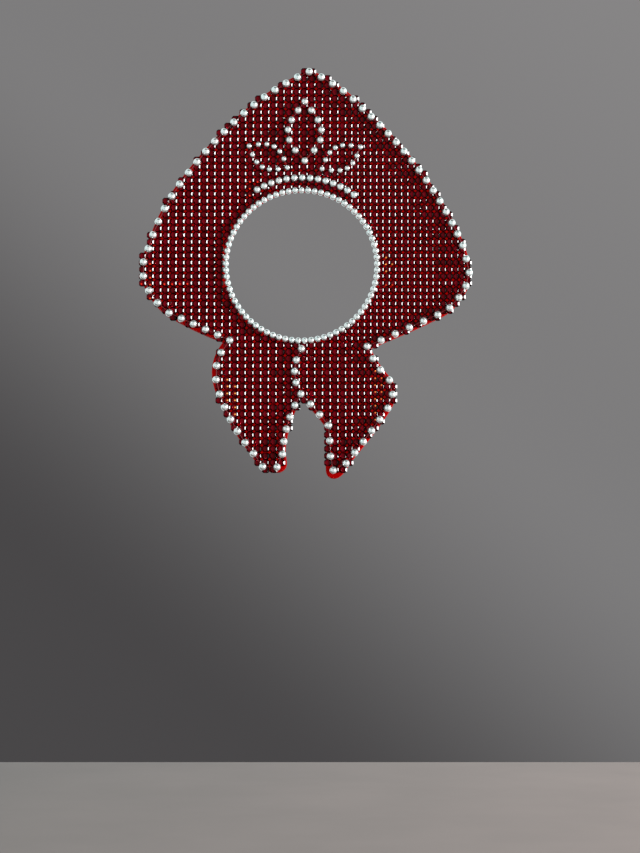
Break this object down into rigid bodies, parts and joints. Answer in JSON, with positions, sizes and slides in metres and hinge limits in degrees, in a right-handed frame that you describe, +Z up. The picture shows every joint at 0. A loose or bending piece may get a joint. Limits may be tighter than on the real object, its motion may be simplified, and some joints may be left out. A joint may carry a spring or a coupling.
{
  "type": "doll's kokoshnik headdress",
  "caption": "Flat doll's headdress: pointed crest with wide rounded lobes and two kerchief ends round an open face hole, faced with cut stones and edged with half-round pearls.",
  "frame": {"origin": "centre of the round face opening, on the plane of the flat back", "axes": "+Z up as worn, towards the peak; +X to the viewer's right; the stones and pearls face -Y and the back faces +Y"},
  "size_m": [0.1283, 0.0061, 0.1575],
  "materials": {
    "felt": "bright red felt over stiff board",
    "stones": "dark red foil-backed cut stones, high gloss",
    "pearls": "white pearl lustre"
  },
  "bodies": {
    "root": {"base_plate": "felt", "stone_sheet_left": "stones", "stone_sheet_right": "stones", "pearl_border": "pearls", "face_ring": "pearls", "crown_arc": "pearls", "crown_drop": "pearls", "crown_leaf_left": "pearls", "crown_leaf_right": "pearls", "parting_strand": "pearls"}
  },
  "joints": []
}
